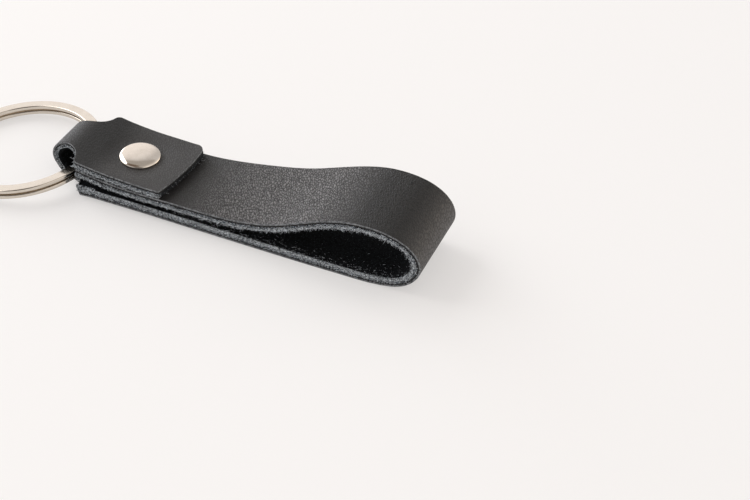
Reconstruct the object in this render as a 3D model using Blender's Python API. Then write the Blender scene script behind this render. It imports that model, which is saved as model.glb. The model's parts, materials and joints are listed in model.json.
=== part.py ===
# Faux leather keychain: a folded strap with a hand loop, a double-cap rivet and a split key ring.
# Lengths are metres. X runs from the rivet towards the loop, Y across the strap and Z up from the table.

import math

import bmesh
import bpy
import numpy as np
from mathutils import Vector

# Strap: one die-cut strip, a grained skin bonded to a fibre backing
strap_width = 0.019
neck_width = 0.009
skin_thickness = 0.0004
bond_thickness = 0.00015
backing_thickness = 0.00135
laminate_gap = 0.00005
front_corner_radius = 0.0006
back_corner_radius = 0.0020
shoulder_corner_radius = 0.0013

# Strap route, seen from the side and measured from the rivet
flap_reach = 0.0115
end_bulge = 0.0009
end_skew = 0.00095
end_run = 0.0060
shoulder_reach = 0.0111
tail_setback = 0.0004
neck_reach = 0.0087
fold_rise = 0.00205
fold_lift = 0.00005
loop_reach = 0.0705
loop_height = 0.0151
loop_nose = 0.0135
table_run = 0.0110
layer_slack = 0.00113
contact_gap = 0.0001

# Rivet: two domed shells, each crimped over the flange of its stem
cap_diameter = 0.0090
front_headroom = 0.0004
back_headroom = 0.00025
cap_side_height = 0.0004
cap_lip_width = 0.0010
cap_press = 0.00025
rivet_sheet = 0.0002
socket_bore = 0.0029
socket_wall = 0.0003
socket_length = 0.0038
post_play = 0.00025
post_wall = 0.0003
post_length = 0.0058
rivet_fit_gap = 0.0001
punch_gap = 0.0001

# Key ring: flat spring wire wound twice, lying loose in the fold
ring_diameter = 0.0356
wire_width = 0.0024
wire_height = 0.0009
wire_edge_radius = 0.00024
turn_gap = 0.0004
ring_play = 0.00355
ring_side_slip = 0.0022
ring_seat_gap = 0.0007
pivot_lift = 0.00105
pivot_setback = 0.00075

# Fineness of the facets, as lengths and as counts
longest_facet = 0.0060
shortest_facet = 0.0003
curve_samples = 40
corner_steps = 4
notch_steps = 6
round_steps = 40
dome_steps = 6
turn_steps = 60
wire_corner_steps = 2

# Angles
facet_turn = math.radians(10)
wire_jog = math.radians(30)
wire_end_gap = math.radians(6)
split_place = math.radians(210)
sharp_edge = math.radians(35)

# The power on the radius in a cap's domed profile: a higher one gives a flatter crown
dome_fullness = 3.0

# Columns across the strap, as shares of its half width
column_shares = (-1.0, -0.5, 0.0, 0.5, 1.0)

# Route points as (along, up, twist): shares of a reach, of a rise and of the strap's width.
# The twist is how far the back edge stands above the front edge.
flap_shares = ((1.0, -0.09, -0.032), (0.46, -0.09, -0.032), (0.0, 0.0, -0.032))
shoulder_shares = ((0.45, 0.25, -0.032), (0.72, 0.51, -0.032), (0.9, 0.69, -0.028))
fold_shares = (
    (0.60, 0.95, -0.022),
    (0.0, 1.0, -0.010),
    (-0.71, 0.71, 0.0),
    (-1.0, 0.08, 0.0),
    (-0.82, -0.44, 0.0),
    (-0.42, -0.90, 0.0),
    (0.15, -1.0, 0.0),
)
heel_shares = ((0.87, 0.80, 0.0), (0.41, 1.0, 0.0), (0.0, 1.0, 0.0))
sole_shares = ((0.17, 0.90, 0.0), (0.38, 0.62, 0.0), (0.60, 0.36, 0.0), (0.82, 0.12, 0.0), (1.0, 0.0, 0.0))
loop_end_shares = (
    (0.886, 0.027, 0.0),
    (0.945, 0.109, 0.0),
    (0.985, 0.289, 0.0),
    (1.0, 0.508, 0.005),
    (0.988, 0.708, 0.018),
    (0.942, 0.905, 0.030),
    (0.869, 1.0, 0.036),
)
upper_run_shares = (
    (0.793, 0.985, 0.036),
    (0.728, 0.872, 0.034),
    (0.635, 0.610, 0.052),
    (0.538, 0.330, 0.070),
    (0.426, 0.135, 0.066),
    (0.292, 0.020, 0.008),
)

# Sizes that follow from the ones above
strap_thickness = skin_thickness + bond_thickness + backing_thickness + 2 * laminate_gap
half_thickness = strap_thickness / 2
half_width = strap_width / 2
notch_radius = (strap_width - neck_width) / 2
tail_reach = shoulder_reach - tail_setback
cap_radius = cap_diameter / 2
flange_radius = cap_radius - rivet_sheet - 4 * rivet_fit_gap
flange_bottom = rivet_sheet + rivet_fit_gap
flange_top = flange_bottom + rivet_sheet
front_cap_height = flange_top + front_headroom + rivet_sheet
back_cap_height = flange_top + back_headroom + rivet_sheet
post_diameter = socket_bore - 2 * post_play
rivet_lift = back_cap_height - cap_press
sole_height = rivet_lift + half_thickness
middle_height = sole_height + strap_thickness + layer_slack
layer_pitch = strap_thickness + contact_gap
table_run_end = loop_reach - loop_nose
table_run_start = table_run_end - table_run
flap_height = middle_height + layer_pitch
fold_reach = shoulder_reach + neck_reach
fold_top = flap_height + fold_rise
fold_bottom = half_thickness + fold_lift
fold_radius = (fold_top - fold_bottom) / 2
fold_middle = (half_thickness + fold_radius - fold_reach, (fold_top + fold_bottom) / 2)
loop_top = loop_height - half_thickness
front_seat = flap_height + half_thickness - cap_press
ring_radius = ring_diameter / 2
ring_height = 2 * wire_height + turn_gap


def clear_scene():
    for old in list(bpy.data.objects):
        bpy.data.objects.remove(old, do_unlink=True)


def material(name, colour, roughness, metallic):
    made = bpy.data.materials.new(name)
    made.use_nodes = True
    shader = made.node_tree.nodes["Principled BSDF"]
    shader.inputs["Base Color"].default_value = (*colour, 1.0)
    shader.inputs["Roughness"].default_value = roughness
    shader.inputs["Metallic"].default_value = metallic
    made.diffuse_color = (*colour, 1.0)
    return made


def add_empty(name, parent=None):
    made = bpy.data.objects.new(name, None)
    made.empty_display_size = cap_diameter
    bpy.context.scene.collection.objects.link(made)
    made.parent = parent
    return made


def add_object(name, vertices, faces, finish, parent):
    mesh = bpy.data.meshes.new(name)
    mesh.from_pydata(vertices, [], faces)
    shape = bmesh.new()
    shape.from_mesh(mesh)
    bmesh.ops.recalc_face_normals(shape, faces=shape.faces)
    shape.to_mesh(mesh)
    shape.free()
    mesh.shade_smooth()
    mesh.set_sharp_from_angle(angle=sharp_edge)
    mesh.materials.append(finish)
    made = bpy.data.objects.new(name, mesh)
    bpy.context.scene.collection.objects.link(made)
    made.parent = parent
    return made


# A cubic spline through points of X, Z and twist, with a given direction at an end or a free one
def smooth_curve(points, first=None, last=None):
    points = np.array(points)
    spans = np.linalg.norm(np.diff(points[:, :2], axis=0), axis=1)
    rates = np.diff(points, axis=0) / spans[:, None]
    system = np.eye(len(points))
    known = np.zeros_like(points)
    for i in range(1, len(points) - 1):
        before, after = 1 / spans[i - 1], 1 / spans[i]
        system[i, i - 1 : i + 2] = (before, 2 * (before + after), after)
        known[i] = 3 * (before * rates[i - 1] + after * rates[i])
    known[0] = 1.5 * rates[0] if first is None else first
    known[-1] = 1.5 * rates[-1] if last is None else last
    system[0, 1] = 0.5 if first is None else 0
    system[-1, -2] = 0.5 if last is None else 0
    slopes = np.linalg.solve(system, known)
    u = np.linspace(0, 1, curve_samples, endpoint=False)[:, None]
    rows = []
    for i, span in enumerate(spans):
        start = (1 - u) ** 2 * ((1 + 2 * u) * points[i] + u * span * slopes[i])
        end = u**2 * ((3 - 2 * u) * points[i + 1] - (1 - u) * span * slopes[i + 1])
        rows.append(start + end)
    rows.append(points[-1:])
    return np.vstack(rows)


# The middle line of the strap as rows of X, Z and twist, from the flap's free end to the hidden cut end
def strap_route():
    flap = [(a * flap_reach, flap_height + up * fold_rise, twist) for a, up, twist in flap_shares]
    flap += [(-a * shoulder_reach, flap_height + up * fold_rise, twist) for a, up, twist in shoulder_shares]
    x, z = fold_middle
    fold = [(x + a * fold_radius, z + up * fold_radius, twist) for a, up, twist in fold_shares]
    sole = [(-a * shoulder_reach, half_thickness + up * rivet_lift, twist) for a, up, twist in heel_shares]
    sole += [(a * table_run_start, half_thickness + up * rivet_lift, twist) for a, up, twist in sole_shares]
    level = (1.0, 0.0, 0.0)
    near_part = smooth_curve(flap + fold + sole, last=level)

    over = near_part[: len(flap) * curve_samples + 1]
    ahead = np.gradient(over[:, :2], axis=0)
    ahead /= np.linalg.norm(ahead, axis=1)[:, None]
    under = over.copy()
    under[:, 0] -= ahead[:, 1] * layer_pitch
    under[:, 1] += ahead[:, 0] * layer_pitch
    tail = [np.interp(tail_reach, -under[:, 0], column) for column in under.T]
    under = np.vstack([under[under[:, 0] > -tail_reach], tail])

    far = loop_reach - half_thickness
    rise = loop_top - half_thickness
    loop = [(table_run_end, half_thickness, 0.0)]
    loop += [(a * far, half_thickness + up * rise, twist) for a, up, twist in loop_end_shares]
    rise = loop_top - middle_height
    loop += [(a * far, middle_height + up * rise, twist) for a, up, twist in upper_run_shares]
    loop.append(tuple(under[0]))
    far_part = smooth_curve(loop, first=level, last=(*ahead[0], 0.0))
    return np.vstack([near_part, far_part[:-1], under])


# Half widths along one shoulder, from the strap's straight edge round its corner and into the punched notch.
# The notch meets the edge at the given place, and the neck lies towards the given side of it.
def shoulder_outline(edge, side):
    reach = notch_radius + shoulder_corner_radius
    run = math.sqrt(reach**2 - shoulder_corner_radius**2)
    start = notch_radius - run
    meeting = notch_radius - run * notch_radius / reach
    rows = []
    for i in range(corner_steps + 1):
        place = start + (meeting - start) * math.sin(math.pi / 2 * i / corner_steps)
        drop = math.sqrt(shoulder_corner_radius**2 - (place - start) ** 2)
        rows.append((edge + side * place, half_width - shoulder_corner_radius + drop))
    for i in range(1, notch_steps + 1):
        place = meeting + (notch_radius - meeting) * (1 - math.cos(math.pi / 2 * i / notch_steps))
        depth = math.sqrt(notch_radius**2 - (notch_radius - place) ** 2)
        rows.append((edge + side * place, half_width - depth))
    return rows


# Half width at a place in one of the free end's rounded corners
def corner_half(place, radius):
    inside = max(radius - place, 0)
    return half_width - radius + math.sqrt(radius**2 - inside**2)


# The die-cut strip's half width in front and at the back, at distances along it
def strip_outline(upper_shoulder, lower_shoulder, length):
    places = []
    for radius in (front_corner_radius, back_corner_radius):
        turns = [math.pi / 2 * i / corner_steps for i in range(corner_steps + 1)]
        arc = [radius * (1 - math.cos(turn)) for turn in turns]
        places += [place for place in arc if not places or place > places[-1] + shortest_facet]
    rows = []
    for place in places:
        rows.append((place, corner_half(place, front_corner_radius), corner_half(place, back_corner_radius)))
    shoulders = shoulder_outline(upper_shoulder, 1) + shoulder_outline(lower_shoulder, -1)[::-1]
    rows += [(place, half, half) for place, half in shoulders]
    rows.append((length, half_width, half_width))
    return np.array(rows)


# How far the free end stands past its middle: a shallow arc, and the back corner reaches furthest
def end_slide(place, y):
    fade = max(1 - place / end_run, 0) ** 2
    return fade * (end_skew * y / strap_width - end_bulge * (y / half_width) ** 2)


# The strap's cross-sections: middle, twist, direction, half widths in front and behind, and place
def strap_stations():
    route = strap_route()
    steps = np.linalg.norm(np.diff(route[:, :2], axis=0), axis=1)
    along = np.concatenate([[0.0], np.cumsum(steps)])
    ahead = np.gradient(route[:, :2], along, axis=0)
    heading = np.unwrap(np.arctan2(ahead[:, 1], ahead[:, 0]))
    turned = np.concatenate([[0.0], np.cumsum(np.abs(np.diff(heading)))])

    fold = int(np.argmin(route[:, 0]))
    loop = int(np.argmax(route[:, 0]))
    upper_shoulder = np.interp(shoulder_reach, -route[:fold, 0], along[:fold])
    lower_shoulder, rest_start, rest_end = np.interp(
        (-shoulder_reach, table_run_start, table_run_end), route[fold:loop, 0], along[fold:loop]
    )
    outline = strip_outline(upper_shoulder, lower_shoulder, along[-1])

    effort = along / longest_facet + turned / facet_turn
    even = np.interp(np.linspace(0, effort[-1], math.ceil(effort[-1]) + 1), effort, along)
    fixed = np.concatenate([outline[:, 0], [rest_start, rest_end]])
    kept = [place for place in even if np.min(np.abs(fixed - place)) > shortest_facet]
    places = np.sort(np.concatenate([fixed, kept]))
    heading = np.interp(places, along, heading)
    middle = [np.interp(places, along, column) for column in route.T]
    halves = [np.interp(places, outline[:, 0], column) for column in outline.T[1:]]
    return list(zip(*middle, np.cos(heading), np.sin(heading), *halves, places))


# One layer of the strap, between two depths under the skin's face
def strap_layer(name, stations, outer_depth, thickness, finish, parent):
    columns = len(column_shares)
    vertices = []
    for depth in (outer_depth, outer_depth + thickness):
        offset = half_thickness - depth
        for x, z, twist, ahead_x, ahead_z, front, back, place in stations:
            for share in column_shares:
                y = share * (front if share < 0 else back)
                slide = end_slide(place, y)
                side_x = x + ahead_z * offset - ahead_x * slide
                vertices.append((side_x, y, z - ahead_x * offset - ahead_z * slide + twist * y))
    inner = len(stations) * columns
    faces = []
    for row in range(0, inner - columns, columns):
        for a in range(row, row + columns - 1):
            faces.append((a, a + 1, a + 1 + columns, a + columns))
            faces.append((inner + a, inner + a + columns, inner + a + 1 + columns, inner + a + 1))
        for a in (row, row + columns - 1):
            faces.append((a, a + columns, inner + a + columns, inner + a))
    for row in (0, inner - columns):
        for a in range(row, row + columns - 1):
            faces.append((a, inner + a, inner + a + 1, a + 1))
    return add_object(name, vertices, faces, finish, parent)


# A turned piece from its closed outline of radius and height
def turned_object(name, outline, finish, parent):
    vertices = []
    rings = []
    for radius, height in outline:
        count = 1 if radius == 0 else round_steps
        rings.append([len(vertices) + i % count for i in range(round_steps)])
        for i in range(count):
            angle = 2 * math.pi * i / round_steps
            vertices.append((radius * math.cos(angle), radius * math.sin(angle), height))
    faces = []
    for lower, upper in zip(rings, rings[1:] + rings[:1]):
        for i in range(round_steps):
            after = (i + 1) % round_steps
            corners = tuple(dict.fromkeys((lower[i], lower[after], upper[after], upper[i])))
            if len(corners) > 2:
                faces.append(corners)
    return add_object(name, vertices, faces, finish, parent)


# Points of a dome, from the top of its side wall to its crown
def dome(radius, crown):
    points = []
    for i in range(dome_steps):
        share = math.cos(math.pi / 2 * i / dome_steps)
        height = cap_side_height + (crown - cap_side_height) * math.sqrt(1 - share**dome_fullness)
        points.append((radius * share, height))
    return points + [(0, crown)]


# A domed shell with a lip crimped inwards, its mouth at height zero
def cap_shell(name, height, finish, parent):
    inside = cap_radius - rivet_sheet
    mouth = cap_radius - cap_lip_width
    outline = [(mouth, 0), (inside, 0), (cap_radius, rivet_sheet)]
    outline += dome(cap_radius, height)
    outline += reversed(dome(inside, height - rivet_sheet))
    outline += [(inside, rivet_sheet), (mouth, rivet_sheet)]
    return turned_object(name, outline, finish, parent)


# The cap's own stem: a flange held by the crimped lip and an open tube
def rivet_socket(finish, parent):
    bore = socket_bore / 2
    wall = bore + socket_wall
    outline = [(bore, -socket_length), (wall, -socket_length), (wall, flange_bottom)]
    outline += [(flange_radius, flange_bottom), (flange_radius, flange_top), (bore, flange_top)]
    return turned_object("rivet_socket", outline, finish, parent)


# The back stem: a flange and a hollow post whose closed, chamfered tip stands in the socket
def rivet_post(finish, parent):
    wall = post_diameter / 2
    bore = wall - post_wall
    inner_end = post_wall - post_length
    outline = [(bore, flange_top), (flange_radius, flange_top), (flange_radius, flange_bottom)]
    outline += [(wall, flange_bottom), (wall, inner_end), (bore, -post_length), (0, -post_length)]
    outline += [(0, inner_end), (bore, inner_end)]
    return turned_object("rivet_post", outline, finish, parent)


# A cutter for the punched hole and the dent that a cap presses round it
def punch(name, stem_diameter, depth, parent):
    hole = stem_diameter / 2 + punch_gap
    dent = cap_radius + punch_gap
    outline = [(0, -depth), (hole, -depth), (hole, -rivet_fit_gap), (dent, -rivet_fit_gap)]
    outline += [(dent, front_cap_height), (0, front_cap_height)]
    made = turned_object(name, outline, None, parent)
    made.hide_render = True
    made.display_type = "WIRE"
    return made


def cut(target, cutter):
    hole = target.modifiers.new(cutter.name, "BOOLEAN")
    hole.operation = "DIFFERENCE"
    hole.solver = "EXACT"
    hole.object = cutter


# The wire's section as points across and up from its middle
def wire_section():
    radius = wire_edge_radius
    points = []
    for corner in range(4):
        middle = math.pi / 2 * (corner + 0.5)
        across = math.copysign(wire_width / 2 - radius, math.cos(middle))
        up = math.copysign(wire_height / 2 - radius, math.sin(middle))
        for i in range(wire_corner_steps + 1):
            angle = math.pi / 2 * (corner + i / wire_corner_steps)
            points.append((across + radius * math.cos(angle), up + radius * math.sin(angle)))
    return points


# How high the wire stands at an angle along it: level, one smooth jog up to the second turn, and level again
def wire_level(angle):
    share = min(max((angle - 2 * math.pi + wire_jog) / wire_jog, 0), 1)
    return wire_height / 2 + (wire_height + turn_gap) * share**2 * (3 - 2 * share)


def split_ring(finish, parent):
    section = wire_section()
    turn = 2 * math.pi
    step = turn / turn_steps
    count = round((2 * turn - wire_jog - wire_end_gap) / step)
    angles = [step * i for i in range(count + 1)]
    least = min(wire_level(a + turn) - wire_level(a) for a in angles if a + turn <= angles[-1])
    gap = (least - wire_height) * 1000
    print(f"ring: {angles[-1] / turn:.2f} turns, least gap between turns {gap:.2f} mm")
    vertices = []
    for angle in angles:
        for across, up in section:
            radius = ring_radius - wire_width / 2 + across
            place = split_place + angle
            vertices.append((radius * math.cos(place), radius * math.sin(place), wire_level(angle) + up))
    sides = len(section)
    faces = []
    for row in range(0, count * sides, sides):
        for i in range(sides):
            after = (i + 1) % sides
            faces.append((row + i, row + after, row + sides + after, row + sides + i))
    faces.append(tuple(range(sides)))
    faces.append(tuple(range(count * sides, (count + 1) * sides)))
    return add_object("split_ring", vertices, faces, finish, parent)


# How far the flap falls towards the loop where the cap sits on it
def flap_lean(stations):
    flap = np.array([row for row in stations[: len(stations) // 4] if row[0] > -shoulder_reach])[::-1]
    along, up = (np.interp(0, flap[:, 0], column) for column in (flap[:, 3], flap[:, 4]))
    return math.atan2(up, -along)


# Puts the part's origin under the middle of its box
def stand_at_origin(root):
    bpy.context.view_layer.update()
    corners = []
    for piece in bpy.data.objects:
        if piece.type == "MESH" and not piece.hide_render:
            corners += [piece.matrix_world @ vertex.co for vertex in piece.data.vertices]
    low = Vector(map(min, zip(*corners)))
    high = Vector(map(max, zip(*corners)))
    root.location = (-(low.x + high.x) / 2, -(low.y + high.y) / 2, -low.z)
    bpy.context.view_layer.update()


def build():
    clear_scene()
    black_skin = material("black coated skin", (0.042, 0.041, 0.041), 0.5, 0.0)
    bond_film = material("bonding film", (0.01, 0.01, 0.012), 0.6, 0.0)
    fibre = material("charcoal fibre backing", (0.03, 0.032, 0.036), 0.95, 0.0)
    ring_steel = material("nickel plated spring steel", (0.72, 0.68, 0.62), 0.2, 1.0)
    cap_plate = material("nickel plated cap", (0.78, 0.74, 0.69), 0.15, 1.0)
    stem_steel = material("bare stem steel", (0.5, 0.48, 0.45), 0.35, 1.0)

    keychain = add_empty("keychain")
    stations = strap_stations()
    bond_depth = skin_thickness + laminate_gap
    backing_depth = bond_depth + bond_thickness + laminate_gap
    layers = [
        strap_layer("strap_skin", stations, 0, skin_thickness, black_skin, keychain),
        strap_layer("strap_bond_film", stations, bond_depth, bond_thickness, bond_film, keychain),
        strap_layer("strap_backing", stations, backing_depth, backing_thickness, fibre, keychain),
    ]

    # The cap leans with the flap, and its axis crosses the upright post halfway into the socket
    lean = flap_lean(stations)
    crossing = (front_seat - socket_length + back_cap_height + post_length) / 2
    front_axis = add_empty("front_rivet_axis", keychain)
    front_axis.location = ((front_seat - crossing) * math.tan(lean), 0, front_seat)
    front_axis.rotation_euler = (0, lean, 0)
    back_axis = add_empty("back_rivet_axis", keychain)
    back_axis.location = (0, 0, back_cap_height)
    back_axis.rotation_euler = (math.pi, 0, 0)
    cap_shell("rivet_front_cap", front_cap_height, cap_plate, front_axis)
    rivet_socket(stem_steel, front_axis)
    cap_shell("rivet_back_cap", back_cap_height, cap_plate, back_axis)
    rivet_post(stem_steel, back_axis)

    upper_depth = layer_pitch + strap_thickness + layer_slack / 2
    front_punch = punch("front_punch", socket_bore + 2 * socket_wall, upper_depth, front_axis)
    back_punch = punch("back_punch", post_diameter, strap_thickness + layer_slack / 2, back_axis)
    for layer in layers:
        cut(layer, front_punch)
        cut(layer, back_punch)

    # The ring's near side lies on the fold and its far side on the table
    seat = fold_bottom + half_thickness + ring_seat_gap
    tilt = math.asin(seat / ring_diameter)
    wire_place = strap_thickness - fold_reach + ring_play + wire_width / 2
    pivot = add_empty("ring_pivot", keychain)
    pivot.location = (wire_place - pivot_setback, 0, seat + ring_height / 2 + pivot_lift)
    ring = split_ring(ring_steel, pivot)
    ring_middle = wire_place + wire_width / 2 - ring_radius * math.cos(tilt)
    ring.location = Vector((ring_middle, -ring_side_slip, seat / 2)) - pivot.location
    ring.rotation_euler = (0, -tilt, 0)
    stand_at_origin(keychain)
    print("ring pivot at", [round(value, 6) for value in pivot.matrix_world.translation])


build()
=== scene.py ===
import json
import math

import bpy
import numpy as np
from mathutils import Matrix, Vector, noise


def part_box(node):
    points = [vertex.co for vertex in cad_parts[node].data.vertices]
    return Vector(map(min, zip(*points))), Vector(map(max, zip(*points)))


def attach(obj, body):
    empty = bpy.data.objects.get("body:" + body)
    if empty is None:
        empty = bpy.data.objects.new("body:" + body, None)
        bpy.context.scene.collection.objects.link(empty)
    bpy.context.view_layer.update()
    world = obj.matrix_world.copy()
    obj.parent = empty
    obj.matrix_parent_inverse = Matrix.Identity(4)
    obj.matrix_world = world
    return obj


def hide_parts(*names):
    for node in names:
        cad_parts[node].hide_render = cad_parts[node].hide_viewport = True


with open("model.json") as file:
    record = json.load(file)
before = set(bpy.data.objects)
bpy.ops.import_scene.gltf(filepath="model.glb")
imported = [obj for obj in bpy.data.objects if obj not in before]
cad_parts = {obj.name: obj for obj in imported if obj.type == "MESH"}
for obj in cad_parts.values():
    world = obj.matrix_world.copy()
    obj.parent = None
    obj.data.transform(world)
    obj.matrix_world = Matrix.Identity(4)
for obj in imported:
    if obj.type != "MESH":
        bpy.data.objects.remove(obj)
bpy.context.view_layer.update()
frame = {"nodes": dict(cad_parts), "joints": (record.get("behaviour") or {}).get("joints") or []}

# Faux leather keychain: a folded strap with a hand loop, a double-cap rivet and a split key ring.
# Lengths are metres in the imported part's frame, unless a name says mm.

random = np.random.default_rng(11)
mm = 0.001
ringPivot = Vector(frame["joints"][0]["pos_m"])
rivetPlace = (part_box("rivet_back_cap")[0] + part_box("rivet_back_cap")[1]) / 2
routeOrigin = Vector((rivetPlace.x, rivetPlace.y, 0))  # the strap's route is measured from the rivet


# sRGB hex, as a colour picker shows it, to linear, and for light times a level
def hexColour(text, level=1.0):
    values = [int(text[i : i + 2], 16) / 255 for i in (1, 3, 5)]
    linear = [v / 12.92 if v <= 0.04045 else ((v + 0.055) / 1.055) ** 2.4 for v in values]
    return (*[v * level for v in linear], 1.0)


# Adds a node with its settings; an input given as a socket is linked, any other is set
def addNode(tree, kind, settings=None, inputs=None):
    node = tree.nodes.new(kind)
    for key, value in (settings or {}).items():
        setattr(node, key, value)
    for key, value in (inputs or {}).items():
        if isinstance(value, bpy.types.NodeSocket):
            tree.links.new(value, node.inputs[key])
        else:
            node.inputs[key].default_value = value
    return node


def newMaterial(name):
    made = bpy.data.materials.new(name)
    made.use_nodes = True
    return made, made.node_tree, made.node_tree.nodes["Principled BSDF"]


def meshObject(name, points, faces, materials, slots=None, uv=None, sharp=None):
    mesh = bpy.data.meshes.new(name)
    mesh.from_pydata(points.tolist(), [], faces)
    for material in materials:
        mesh.materials.append(material)
    if slots is not None:
        mesh.polygons.foreach_set("material_index", np.asarray(slots, np.int32))
    mesh.shade_smooth()
    if sharp:
        mesh.set_sharp_from_angle(angle=sharp)
    if uv is not None:
        corners = np.empty(len(mesh.loops), np.int32)
        mesh.loops.foreach_get("vertex_index", corners)
        mesh.uv_layers.new(name="strip").data.foreach_set("uv", uv[corners].astype(np.float32).ravel())
    mesh.validate()
    made = bpy.data.objects.new(name, mesh)
    bpy.context.scene.collection.objects.link(made)
    return made


def smoothStep(value, low, high):
    share = np.clip((value - low) / (high - low), 0, 1)
    return share**2 * (3 - 2 * share)


# Strap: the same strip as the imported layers, with finer rows
strap = {
    "width": 0.019,
    "neckWidth": 0.009,
    "thickness": 0.002,
    "frontCorner": 0.0006,
    "backCorner": 0.0020,
    "endBulge": 0.0009,
    "endSkew": 0.00095,
    "endRun": 0.0060,
    "shoulderCorner": 0.0013,
    "rowStep": 0.00042,
    "rowClearShare": 0.4,
    "columns": 26,
    "columnBow": 0.86,
    "cornerSteps": 14,
    "notchSteps": 22,
    "sharpAngle": math.radians(50),
    # How rough the cut edge of the skin, the film and the backing is, and how far and wide the faces swell
    "fuzzMm": (0.0075, 0.005, 0.045),
    "swellMm": 0.02,
    "lumpSize": 0.006,
    # In the notches, where the half width is under the second value, the wall below this depth takes the
    # dark inner face: painted shade inside the fold
    "neckShadeMm": 1.3,
    "neckHalf": 0.0063,
}


# Materials

# Patches of a real size: the cloudy pattern itself, and its part between two levels spread over two values
def patchPattern(tree, place, look, name, detail, fineness=0.5, values=(0.0, 1.0)):
    size = 1 / (look[name + "Mm"] * mm)
    settings = {"Vector": place, "Scale": size, "Detail": detail, "Roughness": fineness}
    pattern = addNode(tree, "ShaderNodeTexNoise", {}, settings).outputs[0]
    low, high = look[name + "Range"]
    spread = {"Value": pattern, "From Min": low, "From Max": high, "To Min": values[0], "To Max": values[1]}
    return pattern, addNode(tree, "ShaderNodeMapRange", {}, spread).outputs[0]


# Links a material's colour and relief, and sets what is the same all over on the shader's own sockets
def finishMaterial(tree, shader, look, colour, bump=None, roughness=None):
    tree.links.new(colour, shader.inputs["Base Color"])
    if bump is not None:
        tree.links.new(bump.outputs[0], shader.inputs["Normal"])
    if roughness is not None:
        tree.links.new(roughness, shader.inputs["Roughness"])
    else:
        shader.inputs["Roughness"].default_value = look["roughness"]
    if "gloss" in look:
        shader.inputs["Specular IOR Level"].default_value = look["gloss"]


# Polyurethane cast on embossed paper: a satin black skin of fine pebbles with creases between them
coatedFace = {
    "pebbleWideMm": 0.48,
    "pebbleLongMm": 0.95,
    "grainTurn": math.radians(27),
    "driftScale": 0.8,
    "driftCells": 1.5,
    "creaseShare": 0.36,
    "grainDepthMm": 0.13,
    "wrinkleMm": 2.2,
    "wrinkleShare": 0.9,
    "colour": "#0d0d0c",
    # Painted sheen: the pale colour laid on the pebble tops where the strap catches the light
    "paintedSheenColour": "#727070",
    "creaseColour": "#2c2b2b",
    "roughness": 0.40,
    "creaseRoughness": 0.66,
    "gloss": 0.36,
    # At places in millimetres from the flap's free end: the share of painted sheen on the face, where none
    # leaves painted shade, and how deep its grain
    "sheenAndGrain": (
        (0, 0.23, 0.35),
        (15, 0.22, 0.35),
        (19.5, 0.0, 0.35),
        (24, 0.0, 0.35),
        (28, 0.17, 0.35),
        (60, 0.16, 1.0),
        (112, 0.14, 1.0),
        (120, 0.14, 0.5),
        (128, 0.44, 0.4),
        (131, 0.18, 0.4),
        (134.5, 0.0, 0.5),
        (142, 0.0, 1.0),
        (147, 0.46, 1.0),
        (153, 0.96, 1.0),
        (168, 1.0, 1.0),
        (175, 0.86, 1.0),
        (180, 0.48, 1.0),
        (184, 0.14, 0.7),
        (190, 0.0, 0.5),
    ),
}


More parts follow.
